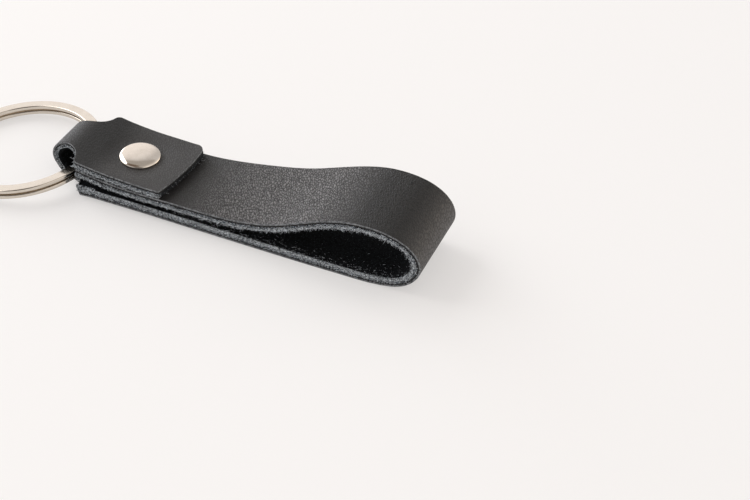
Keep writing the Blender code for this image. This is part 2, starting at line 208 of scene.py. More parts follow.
def coatedLeather(look):
    material, tree, shader = newMaterial("polyurethane coated faux leather, embossed pebble grain")
    strip = addNode(tree, "ShaderNodeUVMap", {"uv_map": "strip"}).outputs[0]
    turning = {"Vector": strip, "Angle": look["grainTurn"]}
    turned = addNode(tree, "ShaderNodeVectorRotate", {"rotation_type": "Z_AXIS"}, turning).outputs[0]
    cells = (1 / (look["pebbleWideMm"] * mm), 1 / (look["pebbleLongMm"] * mm), 0)
    grid = addNode(tree, "ShaderNodeVectorMath", {"operation": "MULTIPLY"}, {0: turned, 1: cells}).outputs[0]
    flat = {"noise_dimensions": "2D"}
    wander = {"Vector": grid, "Scale": look["driftScale"], "Detail": 2}
    drift = addNode(tree, "ShaderNodeTexNoise", flat, wander).outputs["Color"]
    shift = {0: drift, 1: (look["driftCells"], look["driftCells"], 0), 2: grid}
    moved = addNode(tree, "ShaderNodeVectorMath", {"operation": "MULTIPLY_ADD"}, shift).outputs[0]
    edge = addNode(
        tree,
        "ShaderNodeTexVoronoi",
        {"voronoi_dimensions": "2D", "feature": "DISTANCE_TO_EDGE"},
        {"Vector": moved, "Scale": 1.0, "Randomness": 1.0},
    )
    rounding = {"Value": edge.outputs["Distance"], "From Max": look["creaseShare"]}
    pebble = addNode(tree, "ShaderNodeMapRange", {"interpolation_type": "SMOOTHERSTEP"}, rounding).outputs[0]
    folds = {"Vector": strip, "Scale": 1 / (look["wrinkleMm"] * mm), "Detail": 3, "Roughness": 0.6}
    wrinkle = addNode(tree, "ShaderNodeTexNoise", flat, folds).outputs[0]
    rise = {0: wrinkle, 1: look["wrinkleShare"], 2: pebble}
    height = addNode(tree, "ShaderNodeMath", {"operation": "MULTIPLY_ADD"}, rise).outputs[0]
    # Painted sheen: the pebble tops are paled by their place along the strip, most on the upper run and a
    # little at the loop's end, where the strap catches the light; painted shade keeps them black at the
    # flap's left, just past the loop's end and beside the flap's free end
    # The flap, the fold and the loop's end were pressed flatter than the rest
    along = addNode(tree, "ShaderNodeSeparateXYZ", {}, {0: strip}).outputs["X"]
    sheenAndGrainReach = look["sheenAndGrain"][-1][0] * mm
    share = addNode(tree, "ShaderNodeMapRange", {}, {"Value": along, "From Max": sheenAndGrainReach}).outputs[0]
    ramp = addNode(tree, "ShaderNodeValToRGB", {}, {0: share})
    for i, (place, paintedSheen, deep) in enumerate(look["sheenAndGrain"]):
        stop = ramp.color_ramp.elements[i] if i < 2 else ramp.color_ramp.elements.new(1)
        stop.position = place * mm / sheenAndGrainReach
        stop.color = (paintedSheen, deep, 0, 1)
    sheenAndGrain = addNode(tree, "ShaderNodeSeparateColor", {}, {0: ramp.outputs[0]})
    grain = sheenAndGrain.outputs["Green"]
    relief = {"Height": height, "Strength": grain, "Distance": look["grainDepthMm"] * mm}
    bump = addNode(tree, "ShaderNodeBump", {}, relief)
    smooth = addNode(tree, "ShaderNodeMath", {"operation": "SUBTRACT"}, {0: 1.0, 1: grain}).outputs[0]
    shown = addNode(tree, "ShaderNodeMapRange", {}, {"Value": pebble, "To Min": smooth}).outputs[0]
    # The painted sheen is mixed into the face's colour by the table's first column
    tones = {0: sheenAndGrain.outputs["Red"], 6: hexColour(look["colour"]), 7: hexColour(look["paintedSheenColour"])}
    top = addNode(tree, "ShaderNodeMix", {"data_type": "RGBA"}, tones).outputs[2]
    tones = {0: shown, 6: hexColour(look["creaseColour"]), 7: top}
    colour = addNode(tree, "ShaderNodeMix", {"data_type": "RGBA"}, tones).outputs[2]
    sheen = {"Value": pebble, "To Min": look["creaseRoughness"], "To Max": look["roughness"]}
    roughness = addNode(tree, "ShaderNodeMapRange", {}, sheen).outputs[0]
    finishMaterial(tree, shader, look, colour, bump, roughness)
    return material


# The same coating where the die has cut through it: a matt grey line, paler than the face, its paleness
# partly painted highlight for the light its rim catches
cutCoating = {
    "pale": "#8f9295",
    "dark": "#3a3d40",
    "streakMm": 0.40,
    "streakRange": (0.35, 0.65),
    "reliefMm": 0.03,
    "reliefStrength": 0.6,
    "roughness": 0.75,
}


def cutCoatingEdge(look):
    material, tree, shader = newMaterial("polyurethane coating, die cut")
    place = addNode(tree, "ShaderNodeTexCoord").outputs["Object"]
    streak, share = patchPattern(tree, place, look, "streak", 3)
    tones = {0: share, 6: hexColour(look["dark"]), 7: hexColour(look["pale"])}
    colour = addNode(tree, "ShaderNodeMix", {"data_type": "RGBA"}, tones).outputs[2]
    relief = {"Height": streak, "Strength": look["reliefStrength"], "Distance": look["reliefMm"] * mm}
    finishMaterial(tree, shader, look, colour, addNode(tree, "ShaderNodeBump", {}, relief))
    return material


# Polyurethane glue between coating and backing: it shows as a thin black line in the cut edge, and its black
# is partly painted shade for the groove between coating and backing
bondLine = {
    "colour": "#0b0b0d",
    "dust": "#1a1c1f",
    "speckMm": 0.25,
    "speckRange": (0.55, 0.75),
    "roughness": 0.7,
}


def bondFilm(look):
    material, tree, shader = newMaterial("polyurethane adhesive film, laminated")
    place = addNode(tree, "ShaderNodeTexCoord").outputs["Object"]
    share = patchPattern(tree, place, look, "speck", 2)[1]
    tones = {0: share, 6: hexColour(look["colour"]), 7: hexColour(look["dust"])}
    colour = addNode(tree, "ShaderNodeMix", {"data_type": "RGBA"}, tones).outputs[2]
    finishMaterial(tree, shader, look, colour)
    return material


# Dyed fibre board, knife cut: felted fibres whose cut ends look grey blue against the dark body
cutFibre = {
    "dark": "#111418",
    "mid": "#566069",
    "pale": "#f0f6fb",
    "tuftMm": (0.85, 0.24),
    "tuftRange": (0.44, 0.54),
    "strandMm": (0.42, 0.15),
    "strandRange": (0.525, 0.605),
    "innerMm": (0.6, 1.9),
    "innerGain": 0.16,
    "endMm": 1.0,
    # Painted shade on the flap's free end: how far its wall is darkened
    "endPaintedShade": 0.95,
    "reliefMm": 0.10,
    "roughness": 0.95,
    "gloss": 0.2,
}


def cutFibreEdge(look):
    material, tree, shader = newMaterial("dyed fibre backing, knife cut")
    strip = addNode(tree, "ShaderNodeUVMap", {"uv_map": "strip"}).outputs[0]
    spot = addNode(tree, "ShaderNodeSeparateXYZ", {}, {0: strip})
    # The felt is looser towards the inner face, so more pale ends show there
    depth = addNode(tree, "ShaderNodeMath", {"operation": "ABSOLUTE"}, {0: spot.outputs["Y"]}).outputs[0]
    low, high = (strap["width"] / 2 + part * mm for part in look["innerMm"])
    least, most = -look["innerGain"] / 2, look["innerGain"] / 2
    reach = {"Value": depth, "From Min": low, "From Max": high, "To Min": least, "To Max": most}
    gain = addNode(tree, "ShaderNodeMapRange", {}, reach).outputs[0]
    patterns, shares = [], []
    for name, detail in (("tuft", 4), ("strand", 2)):
        along, across = look[name + "Mm"]
        stretch = {0: strip, 1: (1 / (along * mm), 1 / (across * mm), 0)}
        grid = addNode(tree, "ShaderNodeVectorMath", {"operation": "MULTIPLY"}, stretch).outputs[0]
        felt = {"Vector": grid, "Scale": 1.0, "Detail": detail, "Roughness": 0.7, "Distortion": 1.0}
        pattern = addNode(tree, "ShaderNodeTexNoise", {"noise_dimensions": "2D"}, felt).outputs[0]
        lifted = addNode(tree, "ShaderNodeMath", {"operation": "ADD"}, {0: pattern, 1: gain}).outputs[0]
        low, high = look[name + "Range"]
        share = addNode(tree, "ShaderNodeMapRange", {}, {"Value": lifted, "From Min": low, "From Max": high})
        patterns.append(pattern)
        shares.append(share.outputs[0])
    dark = hexColour(look["dark"])
    tones = {0: shares[0], 6: dark, 7: hexColour(look["mid"])}
    body = addNode(tree, "ShaderNodeMix", {"data_type": "RGBA"}, tones).outputs[2]
    tones = {0: shares[1], 6: body, 7: hexColour(look["pale"])}
    tufts = addNode(tree, "ShaderNodeMix", {"data_type": "RGBA"}, tones).outputs[2]
    # Painted shade: the wall of the flap's free end is darkened towards the fibres' dark colour
    end = {"Value": spot.outputs["X"], "From Min": -look["endMm"] * mm, "From Max": 0.0}
    end.update({"To Min": look["endPaintedShade"], "To Max": 0.0})
    shade = addNode(tree, "ShaderNodeMapRange", {}, end).outputs[0]
    colour = addNode(tree, "ShaderNodeMix", {"data_type": "RGBA"}, {0: shade, 6: tufts, 7: dark}).outputs[2]
    height = addNode(tree, "ShaderNodeMath", {"operation": "ADD"}, {0: patterns[0], 1: patterns[1]})
    relief = {"Height": height.outputs[0], "Strength": 1.0, "Distance": look["reliefMm"] * mm}
    finishMaterial(tree, shader, look, colour, addNode(tree, "ShaderNodeBump", {}, relief))
    return material


# The backing's inner face, brushed to a suede nap: it drinks the light, with a few paler fibre ends
suedeNap = {
    "deep": "#0b0c0d",
    "soft": "#1d2023",
    "speck": "#565b60",
    "napMm": 0.7,
    "napRange": (0.35, 0.7),
    "speckMm": 0.25,
    "speckRange": (0.62, 0.75),
    "reliefMm": 0.12,
    "roughness": 1.0,
    "gloss": 0.1,
}


def suedeInside(look):
    material, tree, shader = newMaterial("dyed fibre backing, brushed to a nap")
    place = addNode(tree, "ShaderNodeTexCoord").outputs["Object"]
    nap, soft = patchPattern(tree, place, look, "nap", 4, 0.7)
    ends = patchPattern(tree, place, look, "speck", 2)[1]
    tones = {0: soft, 6: hexColour(look["deep"]), 7: hexColour(look["soft"])}
    base = addNode(tree, "ShaderNodeMix", {"data_type": "RGBA"}, tones).outputs[2]
    tones = {0: ends, 6: base, 7: hexColour(look["speck"])}
    colour = addNode(tree, "ShaderNodeMix", {"data_type": "RGBA"}, tones).outputs[2]
    relief = {"Height": nap, "Strength": 1.0, "Distance": look["reliefMm"] * mm}
    finishMaterial(tree, shader, look, colour, addNode(tree, "ShaderNodeBump", {}, relief))
    return material


# Loose polyester ends along the cut: they catch the light as pale grey hairs
strayFibre = {
    "dark": "#22262a",
    "pale": "#dfe6ec",
    "patchMm": 0.42,
    "patchRange": (0.42, 0.60),
    "roughness": 0.8,
}


def strayFibreMaterial(look):
    material, tree, shader = newMaterial("dyed polyester fibre ends")
    place = addNode(tree, "ShaderNodeTexCoord").outputs["Object"]
    share = patchPattern(tree, place, look, "patch", 3)[1]
    tones = {0: share, 6: hexColour(look["dark"]), 7: hexColour(look["pale"])}
    colour = addNode(tree, "ShaderNodeMix", {"data_type": "RGBA"}, tones).outputs[2]
    finishMaterial(tree, shader, look, colour)
    return material


# Bright nickel plate over polished metal: a warm mirror with faint rubbing marks
polishedNickel = {
    "colour": "#e3dacf",
    "worn": "#cfc4b8",
    "roughness": 0.07,
    "rubbedRoughness": 0.16,
    "rubMm": 1.6,
    "rubRange": (0.4, 0.75),
    "reliefMm": 0.01,
    "reliefStrength": 0.15,
}
# The same plate on rolled wire, which is less smooth under it
ringNickel = {
    **polishedNickel,
    "colour": "#ddd5ca",
    "worn": "#c6bcb0",
    "roughness": 0.12,
    "rubbedRoughness": 0.24,
    "rubMm": 2.5,
}
# Bare drawn steel of the stems: greyer and duller, with the tool's fine marks
drawnSteel = {
    **polishedNickel,
    "colour": "#b9b4ad",
    "worn": "#8e8982",
    "roughness": 0.3,
    "rubbedRoughness": 0.45,
    "rubMm": 0.8,
}


def rubbedMetal(look, name):
    material, tree, shader = newMaterial(name)
    place = addNode(tree, "ShaderNodeTexCoord").outputs["Object"]
    values = (look["roughness"], look["rubbedRoughness"])
    rub, roughness = patchPattern(tree, place, look, "rub", 5, 0.65, values)
    tones = {0: rub, 6: hexColour(look["colour"]), 7: hexColour(look["worn"])}
    colour = addNode(tree, "ShaderNodeMix", {"data_type": "RGBA"}, tones).outputs[2]
    relief = {"Height": rub, "Strength": look["reliefStrength"], "Distance": look["reliefMm"] * mm}
    finishMaterial(tree, shader, look, colour, addNode(tree, "ShaderNodeBump", {}, relief), roughness)
    shader.inputs["Metallic"].default_value = 1.0
    return material


leatherFace = coatedLeather(coatedFace)
leatherCut = cutCoatingEdge(cutCoating)
gluedLine = bondFilm(bondLine)
fibreCut = cutFibreEdge(cutFibre)
fibreInside = suedeInside(suedeNap)
fibreEnds = strayFibreMaterial(strayFibre)
capPlate = rubbedMetal(polishedNickel, "nickel plated brass, polished")
ringPlate = rubbedMetal(ringNickel, "nickel plated spring wire, rolled flat and polished")
stemSteel = rubbedMetal(drawnSteel, "low carbon steel, drawn")
print("materials made")


# The strap's route
route = {
    "flapReach": 0.0115,
    "shoulderReach": 0.0111,
    "tailReach": 0.0107,
    "foldReach": 0.0198,
    "foldRise": 0.00205,
    "foldLift": 0.00005,
    "tableStart": 0.0460,
    "tableEnd": 0.0570,
    "loopReach": 0.0705,
    "loopHeight": 0.0151,
    "rivetLift": 0.0007,
    "layerSlack": 0.00113,
    "contactGap": 0.0001,
    "samples": 40,
}
# Route points as (along, up, twist), in shares of a reach, of a rise and of the width
flapShares = ((1.0, -0.09, -0.032), (0.46, -0.09, -0.032), (0.0, 0.0, -0.032))
shoulderShares = ((0.45, 0.25, -0.032), (0.72, 0.51, -0.032), (0.9, 0.69, -0.028))
foldShares = (
    (0.60, 0.95, -0.022),
    (0.0, 1.0, -0.010),
    (-0.71, 0.71, 0.0),
    (-1.0, 0.08, 0.0),
    (-0.82, -0.44, 0.0),
    (-0.42, -0.90, 0.0),
    (0.15, -1.0, 0.0),
)
heelShares = ((0.87, 0.80, 0.0), (0.41, 1.0, 0.0), (0.0, 1.0, 0.0))
soleShares = ((0.17, 0.90, 0.0), (0.38, 0.62, 0.0), (0.60, 0.36, 0.0), (0.82, 0.12, 0.0), (1.0, 0.0, 0.0))
loopEndShares = (
    (0.886, 0.027, 0.0),
    (0.945, 0.109, 0.0),
    (0.985, 0.289, 0.0),
    (1.0, 0.508, 0.005),
    (0.988, 0.708, 0.018),
    (0.942, 0.905, 0.030),
    (0.869, 1.0, 0.036),
)
upperRunShares = (
    (0.793, 0.985, 0.036),
    (0.728, 0.872, 0.034),
    (0.635, 0.610, 0.052),
    (0.538, 0.330, 0.070),
    (0.426, 0.135, 0.066),
    (0.292, 0.020, 0.008),
)


# A cubic spline through points of X, Z and twist, with a given direction at an end or a free one
def smoothCurve(points, first=None, last=None):
    points = np.array(points)
    spans = np.linalg.norm(np.diff(points[:, :2], axis=0), axis=1)
    rates = np.diff(points, axis=0) / spans[:, None]
    system = np.eye(len(points))
    known = np.zeros_like(points)
    for i in range(1, len(points) - 1):
        before, after = 1 / spans[i - 1], 1 / spans[i]
        system[i, i - 1 : i + 2] = (before, 2 * (before + after), after)
        known[i] = 3 * (before * rates[i - 1] + after * rates[i])
    known[0] = 1.5 * rates[0] if first is None else first
    known[-1] = 1.5 * rates[-1] if last is None else last
    system[0, 1] = 0.5 if first is None else 0
    system[-1, -2] = 0.5 if last is None else 0
    slopes = np.linalg.solve(system, known)
    u = np.linspace(0, 1, route["samples"], endpoint=False)[:, None]
    rows = []
    for i, span in enumerate(spans):
        start = (1 - u) ** 2 * ((1 + 2 * u) * points[i] + u * span * slopes[i])
        end = u**2 * ((3 - 2 * u) * points[i + 1] - (1 - u) * span * slopes[i + 1])
        rows.append(start + end)
    rows.append(points[-1:])
    return np.vstack(rows)


# The strap's middle line as rows of X, Z and twist, from the flap's free end to the hidden cut end
def strapRoute():
    thick = strap["thickness"]
    half = thick / 2
    middleHeight = route["rivetLift"] + half + thick + route["layerSlack"]
    pitch = thick + route["contactGap"]
    flapHeight = middleHeight + pitch
    foldTop = flapHeight + route["foldRise"]
    foldBottom = half + route["foldLift"]
    radius = (foldTop - foldBottom) / 2
    x, z = half + radius - route["foldReach"], (foldTop + foldBottom) / 2
    lift = route["rivetLift"]
    shoulder = route["shoulderReach"]

    near = [(a * route["flapReach"], flapHeight + up * route["foldRise"], t) for a, up, t in flapShares]
    near += [(-a * shoulder, flapHeight + up * route["foldRise"], t) for a, up, t in shoulderShares]
    flapPoints = len(near)
    near += [(x + a * radius, z + up * radius, t) for a, up, t in foldShares]
    near += [(-a * shoulder, half + up * lift, t) for a, up, t in heelShares]
    near += [(a * route["tableStart"], half + up * lift, t) for a, up, t in soleShares]
    level = (1.0, 0.0, 0.0)
    nearPart = smoothCurve(near, last=level)

    # The middle layer lies a sheet's thickness under the flap
    over = nearPart[: flapPoints * route["samples"] + 1]
    ahead = np.gradient(over[:, :2], axis=0)
    ahead /= np.linalg.norm(ahead, axis=1)[:, None]
    under = over.copy()
    under[:, 0] -= ahead[:, 1] * pitch
    under[:, 1] += ahead[:, 0] * pitch
    tail = [np.interp(route["tailReach"], -under[:, 0], column) for column in under.T]
    under = np.vstack([under[under[:, 0] > -route["tailReach"]], tail])

    far = route["loopReach"] - half
    rise = route["loopHeight"] - thick
    loop = [(route["tableEnd"], half, 0.0)]
    loop += [(a * far, half + up * rise, t) for a, up, t in loopEndShares]
    rise = route["loopHeight"] - half - middleHeight
    loop += [(a * far, middleHeight + up * rise, t) for a, up, t in upperRunShares]
    loop.append(tuple(under[0]))
    farPart = smoothCurve(loop, first=level, last=(*ahead[0], 0.0))
    return np.vstack([nearPart, farPart[:-1], under])


line = strapRoute()
lineSteps = np.linalg.norm(np.diff(line[:, :2], axis=0), axis=1)
lineAlong = np.concatenate([[0.0], np.cumsum(lineSteps)])
lineAhead = np.gradient(line[:, :2], lineAlong, axis=0)
lineHeading = np.unwrap(np.arctan2(lineAhead[:, 1], lineAhead[:, 0]))
foldRow = int(np.argmin(line[:, 0]))
loopRow = int(np.argmax(line[:, 0]))
flapPart, solePart, upperPart = slice(0, foldRow), slice(foldRow, loopRow), slice(loopRow, None)
rivetOnFlap = float(np.interp(0, -line[flapPart, 0], lineAlong[flapPart]))
rivetOnSole = float(np.interp(0, line[solePart, 0], lineAlong[solePart]))
upperShoulder = float(np.interp(route["shoulderReach"], -line[flapPart, 0], lineAlong[flapPart]))
lowerShoulder = float(np.interp(-route["shoulderReach"], line[solePart, 0], lineAlong[solePart]))
loopClosed = float(np.interp(-route["flapReach"], -line[upperPart, 0], lineAlong[upperPart]))


# Half widths along one shoulder: the strap's straight edge, its rounded corner and the punched notch
def shoulderOutline(edge, side):
    half = strap["width"] / 2
    notch = (strap["width"] - strap["neckWidth"]) / 2
    corner = strap["shoulderCorner"]
    reach = notch + corner
    run = math.sqrt(reach**2 - corner**2)
    start = notch - run
    meeting = notch - run * notch / reach
    rows = []
    for i in range(strap["cornerSteps"] + 1):
        place = start + (meeting - start) * math.sin(math.pi / 2 * i / strap["cornerSteps"])
        rows.append((edge + side * place, half - corner + math.sqrt(corner**2 - (place - start) ** 2)))
    for i in range(1, strap["notchSteps"] + 1):
        place = meeting + (notch - meeting) * (1 - math.cos(math.pi / 2 * i / strap["notchSteps"]))
        rows.append((edge + side * place, half - math.sqrt(notch**2 - (notch - place) ** 2)))
    return rows


# One long edge of the flat strip: place, half width, and the outline's outward direction there
def sideOutline(corner):
    half = strap["width"] / 2
    outline = []
    for i in range(strap["cornerSteps"] + 1):
        angle = math.pi / 2 * i / strap["cornerSteps"]
        outline.append((corner * (1 - math.cos(angle)), half - corner * (1 - math.sin(angle))))
    outline += shoulderOutline(upperShoulder, 1)
    outline += reversed(shoulderOutline(lowerShoulder, -1))
    outline.append((lineAlong[-1], half))
    outline = np.array(outline)
    along = np.gradient(outline, axis=0)
    facing = np.stack([-along[:, 1], along[:, 0]], axis=1)
    facing[0] = (-1, 0)
    flat = np.abs(outline[:, 1] - half) < 1e-7
    flat |= np.abs(outline[:, 1] - strap["neckWidth"] / 2) < 1e-7
    facing[flat] = (0, 1)
    facing /= np.linalg.norm(facing, axis=1)[:, None]
    return np.column_stack([outline, facing])


# Rows along the flat strip: their places, and each edge's outline there, the front one first
def stripRows():
    edges = [sideOutline(strap["frontCorner"]), sideOutline(strap["backCorner"])]
    fixed = np.unique(np.round(np.concatenate([edge[:, 0] for edge in edges]), 8))
    even = np.arange(0, lineAlong[-1], strap["rowStep"])
    clear = strap["rowStep"] * strap["rowClearShare"]
    kept = [place for place in even if np.min(np.abs(fixed - place)) > clear]
    place = np.sort(np.concatenate([fixed, kept]))
    sides = []
    for edge in edges:
        side = np.stack([np.interp(place, edge[:, 0], column) for column in edge.T[1:]])
        side[1:, -1] = (1, 1)
        sides.append(side)
    return place, np.array(sides)


# The flap sinks a little round the front cap, and its long edges stand proud beside it
# The lower run sinks at the back cap
press = {
    "capRadius": 0.0047,
    "blend": 0.0042,
    "depth": 0.00028,
    "edgeRise": 0.00016,
    "edgeFrom": 0.0050,
    "riseFrom": 0.003,
    "riseTo": 0.0095,
}


# Places in the frame for points of the flat strip, at a depth under the skin's face
def onRoute(place, across, depth):
    sink = np.zeros_like(depth)
    dimple = press["capRadius"] + press["blend"]
    for rivet in (rivetOnFlap, rivetOnSole):
        away = np.hypot(place - rivet, across)
        sink += press["depth"] * (1 - smoothStep(away, press["capRadius"], dimple))
    sink *= 1 - depth / strap["thickness"]
    beside = smoothStep(np.abs(across), press["edgeFrom"], strap["width"] / 2)
    beside *= 1 - smoothStep(np.abs(place - rivetOnFlap), press["riseFrom"], press["riseTo"])
    sink -= press["edgeRise"] * beside
    offset = strap["thickness"] / 2 - depth - sink
    heading = np.interp(place, lineAlong, lineHeading)
    x, z, twist = (np.interp(place, lineAlong, column) for column in line.T)
    # The free end was cut in a shallow arc, a little askew
    fade = np.clip(1 - place / strap["endRun"], 0, 1) ** 2
    share = across / strap["width"]
    slide = fade * (strap["endSkew"] * share - strap["endBulge"] * (2 * share) ** 2)
    slide -= np.minimum(place, 0)
    x = x + np.sin(heading) * offset - np.cos(heading) * slide
    z = z - np.cos(heading) * offset - np.sin(heading) * slide + twist * across
    return np.stack([x, across, z], axis=-1) + np.array(routeOrigin)


rowPlace, rowSides = stripRows()
columnTurn = math.pi / 2 * strap["columnBow"]
columnShares = np.sin(np.linspace(-1, 1, strap["columns"]) * columnTurn) / math.sin(columnTurn)


# One layer of the strap. The profile gives, down the cut edge, how far each line stands inside the outline
# and its depth; fuzz roughens the cut edge, and swell is how far the faces rise and fall.
def strapLayer(name, profile, materials, cutFrom, fuzz, swell, neckShadeDepth=math.inf):
    rows, columns = len(rowPlace), len(columnShares)
    r, c = np.meshgrid(np.arange(rows), np.arange(columns), indexing="ij")
    grid = r * columns + c
    rim = np.concatenate([grid[:, 0], grid[-1, 1:], grid[-2::-1, -1], grid[0, -2:0:-1]])
    rimRow, rimColumn = rim // columns, rim % columns

    def level(inset, depth, row, column):
        share = columnShares[column]
        front, back = rowSides[:, :, row]
        facingAlong = front[1] + (back[1] - front[1]) * (share + 1) / 2
        half, _, facingAcross = np.where(share < 0, front, back)
        spot = rowPlace[row] - inset * facingAlong
        across = share * (half - inset * facingAcross)
        return spot, across, np.broadcast_to(depth, spot.shape).astype(float), facingAlong

    flat, marks = [], []
    for k, (inset, depth) in enumerate(profile):
        whole = k in (0, len(profile) - 1)
        row, column = (r.ravel(), c.ravel()) if whole else (rimRow, rimColumn)
        if not whole:
            inset = inset + fuzz * random.normal(size=len(rim))
        spot, across, down, facingAlong = level(inset, depth, row, column)
        if whole and swell:
            lumps = [noise.noise(Vector((a, b, depth)) / strap["lumpSize"]) for a, b in zip(spot, across)]
            down = down + swell * np.array(lumps)
        flat.append((spot, across, down))
        # The faces are marked by their place on the strip, and the cut edge by its length and depth
        beside = np.where(spot < strap["endRun"], across + strap["width"] / 2, -across)
        wall = np.stack([spot + facingAlong * beside, np.sign(across) * (strap["width"] / 2 + down)], axis=1)
        marks.append(np.stack([spot, across], axis=1) if whole else wall)
    points = np.concatenate([onRoute(*part) for part in flat])
    strip = np.concatenate(marks)

    last = len(points) - rows * columns
    a, b, d, e = grid[:-1, :-1], grid[:-1, 1:], grid[1:, 1:], grid[1:, :-1]
    top = np.stack([a, b, d, e], axis=-1).reshape(-1, 4)
    bottom = last + top[:, ::-1]
    rims = [rim]
    for k in range(1, len(profile) - 1):
        rims.append(rows * columns + (k - 1) * len(rim) + np.arange(len(rim)))
    rims.append(last + rim)
    faces = [top, bottom]
    slots = [np.zeros(len(top)), np.full(len(bottom), len(materials) - 1)]
    inNeck = rowSides[0, 0, rimRow] < strap["neckHalf"]
    inNeck &= (rowPlace[rimRow] > upperShoulder) & (rowPlace[rimRow] < lowerShoulder)
    for k, (upper, lower) in enumerate(zip(rims, rims[1:])):
        faces.append(np.stack([upper, lower, np.roll(lower, -1), np.roll(upper, -1)], axis=1))
        slot = np.full(len(rim), 0 if k < cutFrom else 1)
        # Painted shade: in the fold's notches the cut wall's deeper part gets the dark inner face's material
        slot[inNeck & (profile[k][1] > neckShadeDepth)] = len(materials) - 1
        slots.append(slot)
    faces = np.concatenate(faces).tolist()
    return meshObject(name, points, faces, materials, np.concatenate(slots), strip, strap["sharpAngle"])


# Down the cut edge: inset and depth of each line, in millimetres
skinProfile = [
    (0.14, 0.0),
    (0.06, 0.012),
    (0.015, 0.05),
    (0.0, 0.11),
    (0.0, 0.25),
    (0.01, 0.36),
    (0.03, 0.41),
]
bondProfile = [(0.10, 0.415), (0.06, 0.42), (0.055, 0.50), (0.06, 0.585), (0.10, 0.59)]
backingProfile = [
    (0.06, 0.595),
    (0.02, 0.62),
    (0.0, 0.75),
    (0.0, 0.92),
    (-0.01, 1.10),
    (0.0, 1.28),
    (0.0, 1.46),
    (0.01, 1.64),
    (0.05, 1.80),
    (0.13, 1.92),
    (0.28, 1.985),
    (0.45, 2.0),
]


def inMetres(profile):
    return [(inset * mm, depth * mm) for inset, depth in profile]


skinFuzz, bondFuzz, fibreFuzz = (value * mm for value in strap["fuzzMm"])
swell, neckShadeDepth = strap["swellMm"] * mm, strap["neckShadeMm"] * mm
edgeSlots = [gluedLine, fibreCut, fibreInside]
strapSkin = strapLayer("strapSkin", inMetres(skinProfile), [leatherFace, leatherCut], 1, skinFuzz, swell)
strapBond = strapLayer("strapBond", inMetres(bondProfile), [gluedLine, gluedLine], 0, bondFuzz, 0)
strapBacking = strapLayer("strapBacking", inMetres(backingProfile), edgeSlots, 2, fibreFuzz, swell, neckShadeDepth)
for piece, node, slot in (
    (strapSkin, "strap_skin", "strap_skin"),
    (strapBond, "strap_bond_film", "strap_bond_film"),
    (strapBacking, "strap_backing", "strap_backing"),
):
    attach(piece, "strap")
    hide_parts(node)
print("strap layers made:", len(rowPlace), "rows")


# Loose fibre ends along the cut backing: short curled tufts, three-sided and tapered
hairs = {
    "count": 12500,
    "joints": 4,
    "sides": 3,
    "lengthMm": (0.22, 0.80),
    "radiusMm": (0.028, 0.080),
    "taper": 0.75,
    "curl": 0.55,
    "endClear": 0.0002,
    "depthMm": (0.62, 1.98),
    "depthShape": (1.4, 0.6),
    # Lean down, out and along, in shares of the length
    "dip": (0.15, 0.42),
    "out": (0.08, 0.6),
    "slip": 0.6,
    "tableClearMm": 0.25,
    "inwardFromMm": 1.7,
    "inwardMm": 0.35,
    "neckDepthMm": 0.95,
    # The layers lie close between these places, from the rivet on the lower run
    "clearFrom": -0.0050,
    "clearTo": 0.0125,
    # The thicker tuft at the strap's left end
    "heelShare": 0.12,
    "heelFrom": 0.11,
    "heelReach": 0.0048,
    "heelCrowding": 1.5,
    "heelDepthMm": 1.9,
    "heelDipMm": (0.2, 0.95),
    "heelOutMm": 0.1,
    "heelSlipMm": 0.2,
    # Those on the flap's free end
    "endShare": 0.004,
    # Those on the loop's inner face
    "napShare": 0.45,
    "napReach": 0.0012,
    "napDepthMm": 1.95,
    "napDipMm": (0.1, 0.45),
}


